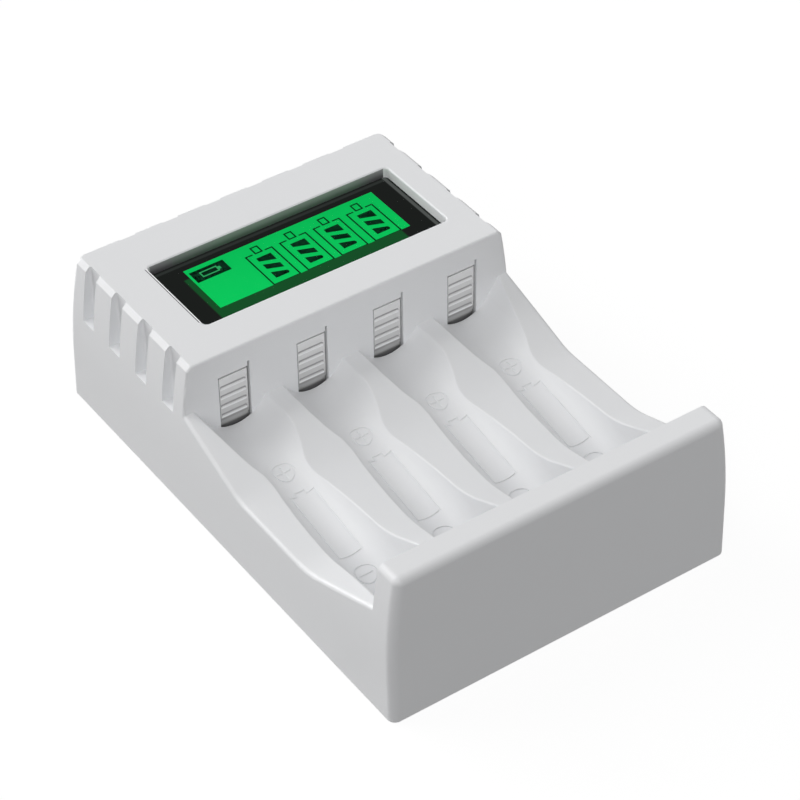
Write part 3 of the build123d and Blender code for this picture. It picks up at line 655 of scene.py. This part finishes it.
def dress_all():
    """Material of each node."""
    for make, finishes in ((plastic, PLASTICS), (metal, METALS)):
        for finish, (color, roughness, wearers) in finishes.items():
            material = make(finish, color, roughness)
            for name in wearers:
                dress(name, material)
    dress("rubber_foot", plastic("foot_rubber", RUBBER_GREY, RUBBER_ROUGHNESS, RUBBER_GRAIN))
    dress("upper_housing", case_plastic())
    dress("display_window", clear_pane())
    dress("display_mask", printed_mask())
    dress("lcd_panel", backlit_glass())
    for name in pieces_named("positive_contact"):
        dress(name, strip_plate(name))


# Surroundings

def white_for_viewer(tree, lighting, viewer):
    """Mix of a shader that lights the object and one that the camera and reflections see."""
    path = tree.nodes.new("ShaderNodeLightPath")
    seen = calculate(tree, "MAXIMUM", path.outputs["Is Camera Ray"], path.outputs["Is Glossy Ray"])
    seen = calculate(tree, "MAXIMUM", seen, path.outputs["Is Transmission Ray"])
    mix = tree.nodes.new("ShaderNodeMixShader")
    tree.links.new(seen, mix.inputs[0])
    tree.links.new(lighting, mix.inputs[1])
    tree.links.new(viewer, mix.inputs[2])
    return mix.outputs[0]


def make_world():
    """Even pale surroundings that look white to the camera."""
    world = bpy.data.worlds.new("studio")
    world.use_nodes = True
    tree = world.node_tree
    lighting = tree.nodes["Background"]
    set_sockets(lighting, {"Color": WHITE, "Strength": AMBIENT})
    viewer = add_node(tree, "ShaderNodeBackground", Color=WHITE, Strength=1.0)
    output = tree.nodes["World Output"]
    tree.links.new(white_for_viewer(tree, lighting.outputs[0], viewer.outputs[0]), output.inputs["Surface"])
    bpy.context.scene.world = world


def floor_white():
    """White that gives little light back, and shows the camera a faint shadow."""
    material, tree, shader = new_material("floor_white")
    set_sockets(shader, {
        "Base Color": (FLOOR_BOUNCE, FLOOR_BOUNCE, FLOOR_BOUNCE),
        "Roughness": 1.0,
        "Specular IOR Level": 0.0,
    })
    lit = add_node(tree, "ShaderNodeBsdfDiffuse", Color=(FLOOR_SHADOW, FLOOR_SHADOW, FLOOR_SHADOW))
    glow = add_node(tree, "ShaderNodeEmission", Color=WHITE, Strength=FLOOR_GLOW)
    viewer = tree.nodes.new("ShaderNodeAddShader")
    tree.links.new(lit.outputs[0], viewer.inputs[0])
    tree.links.new(glow.outputs[0], viewer.inputs[1])
    output = tree.nodes["Material Output"]
    tree.links.new(white_for_viewer(tree, shader.outputs[0], viewer.outputs[0]), output.inputs["Surface"])
    return material


def make_floor():
    """Wide flat floor just under the feet."""
    mesh = bmesh.new()
    corners = box_corners(-FLOOR_HALF, -FLOOR_HALF, FLOOR_HALF, FLOOR_HALF)
    mesh.faces.new([mesh.verts.new((x, y, 0)) for x, y in corners])
    data = bpy.data.meshes.new("floor")
    mesh.to_mesh(data)
    mesh.free()
    data.materials.append(floor_white())
    floor = bpy.data.objects.new("floor", data)
    bpy.context.scene.collection.objects.link(floor)
    floor.location.z = -FLOOR_DROP * MM


def make_suns():
    """Soft lights: the key from above and behind, a fill from in front, and a low one from behind."""
    for name, (strength, source, softness) in SUNS.items():
        data = bpy.data.lights.new(name, "SUN")
        data.energy = strength
        data.angle = radians(softness)
        light = bpy.data.objects.new(name, data)
        bpy.context.scene.collection.objects.link(light)
        light.rotation_mode = "QUATERNION"
        light.rotation_quaternion = Vector(source).to_track_quat("Z", "Y")


def make_camera():
    """Camera at the photograph's viewpoint."""
    azimuth = radians(CAMERA_AZIMUTH)
    elevation = radians(CAMERA_ELEVATION)
    roll = radians(CAMERA_ROLL)
    back = Vector((sin(azimuth) * cos(elevation), -cos(azimuth) * cos(elevation), sin(elevation)))
    right = Vector((cos(azimuth), sin(azimuth), 0))
    up = back.cross(right)
    turned_right = right * cos(roll) + up * sin(roll)
    turned_up = up * cos(roll) - right * sin(roll)
    data = bpy.data.cameras.new("camera")
    data.lens = CAMERA_LENS
    data.sensor_width = CAMERA_SENSOR
    data.clip_start = CAMERA_NEAR
    camera = bpy.data.objects.new("camera", data)
    bpy.context.scene.collection.objects.link(camera)
    axes = Matrix((turned_right, turned_up, back)).transposed()
    camera.matrix_world = Matrix.Translation(CAMERA_PLACE) @ axes.to_4x4()
    bpy.context.scene.camera = camera


make_camera()
make_world()
make_floor()
make_suns()
dress_all()
make_display()
bpy.context.scene.view_settings.view_transform = "Standard"
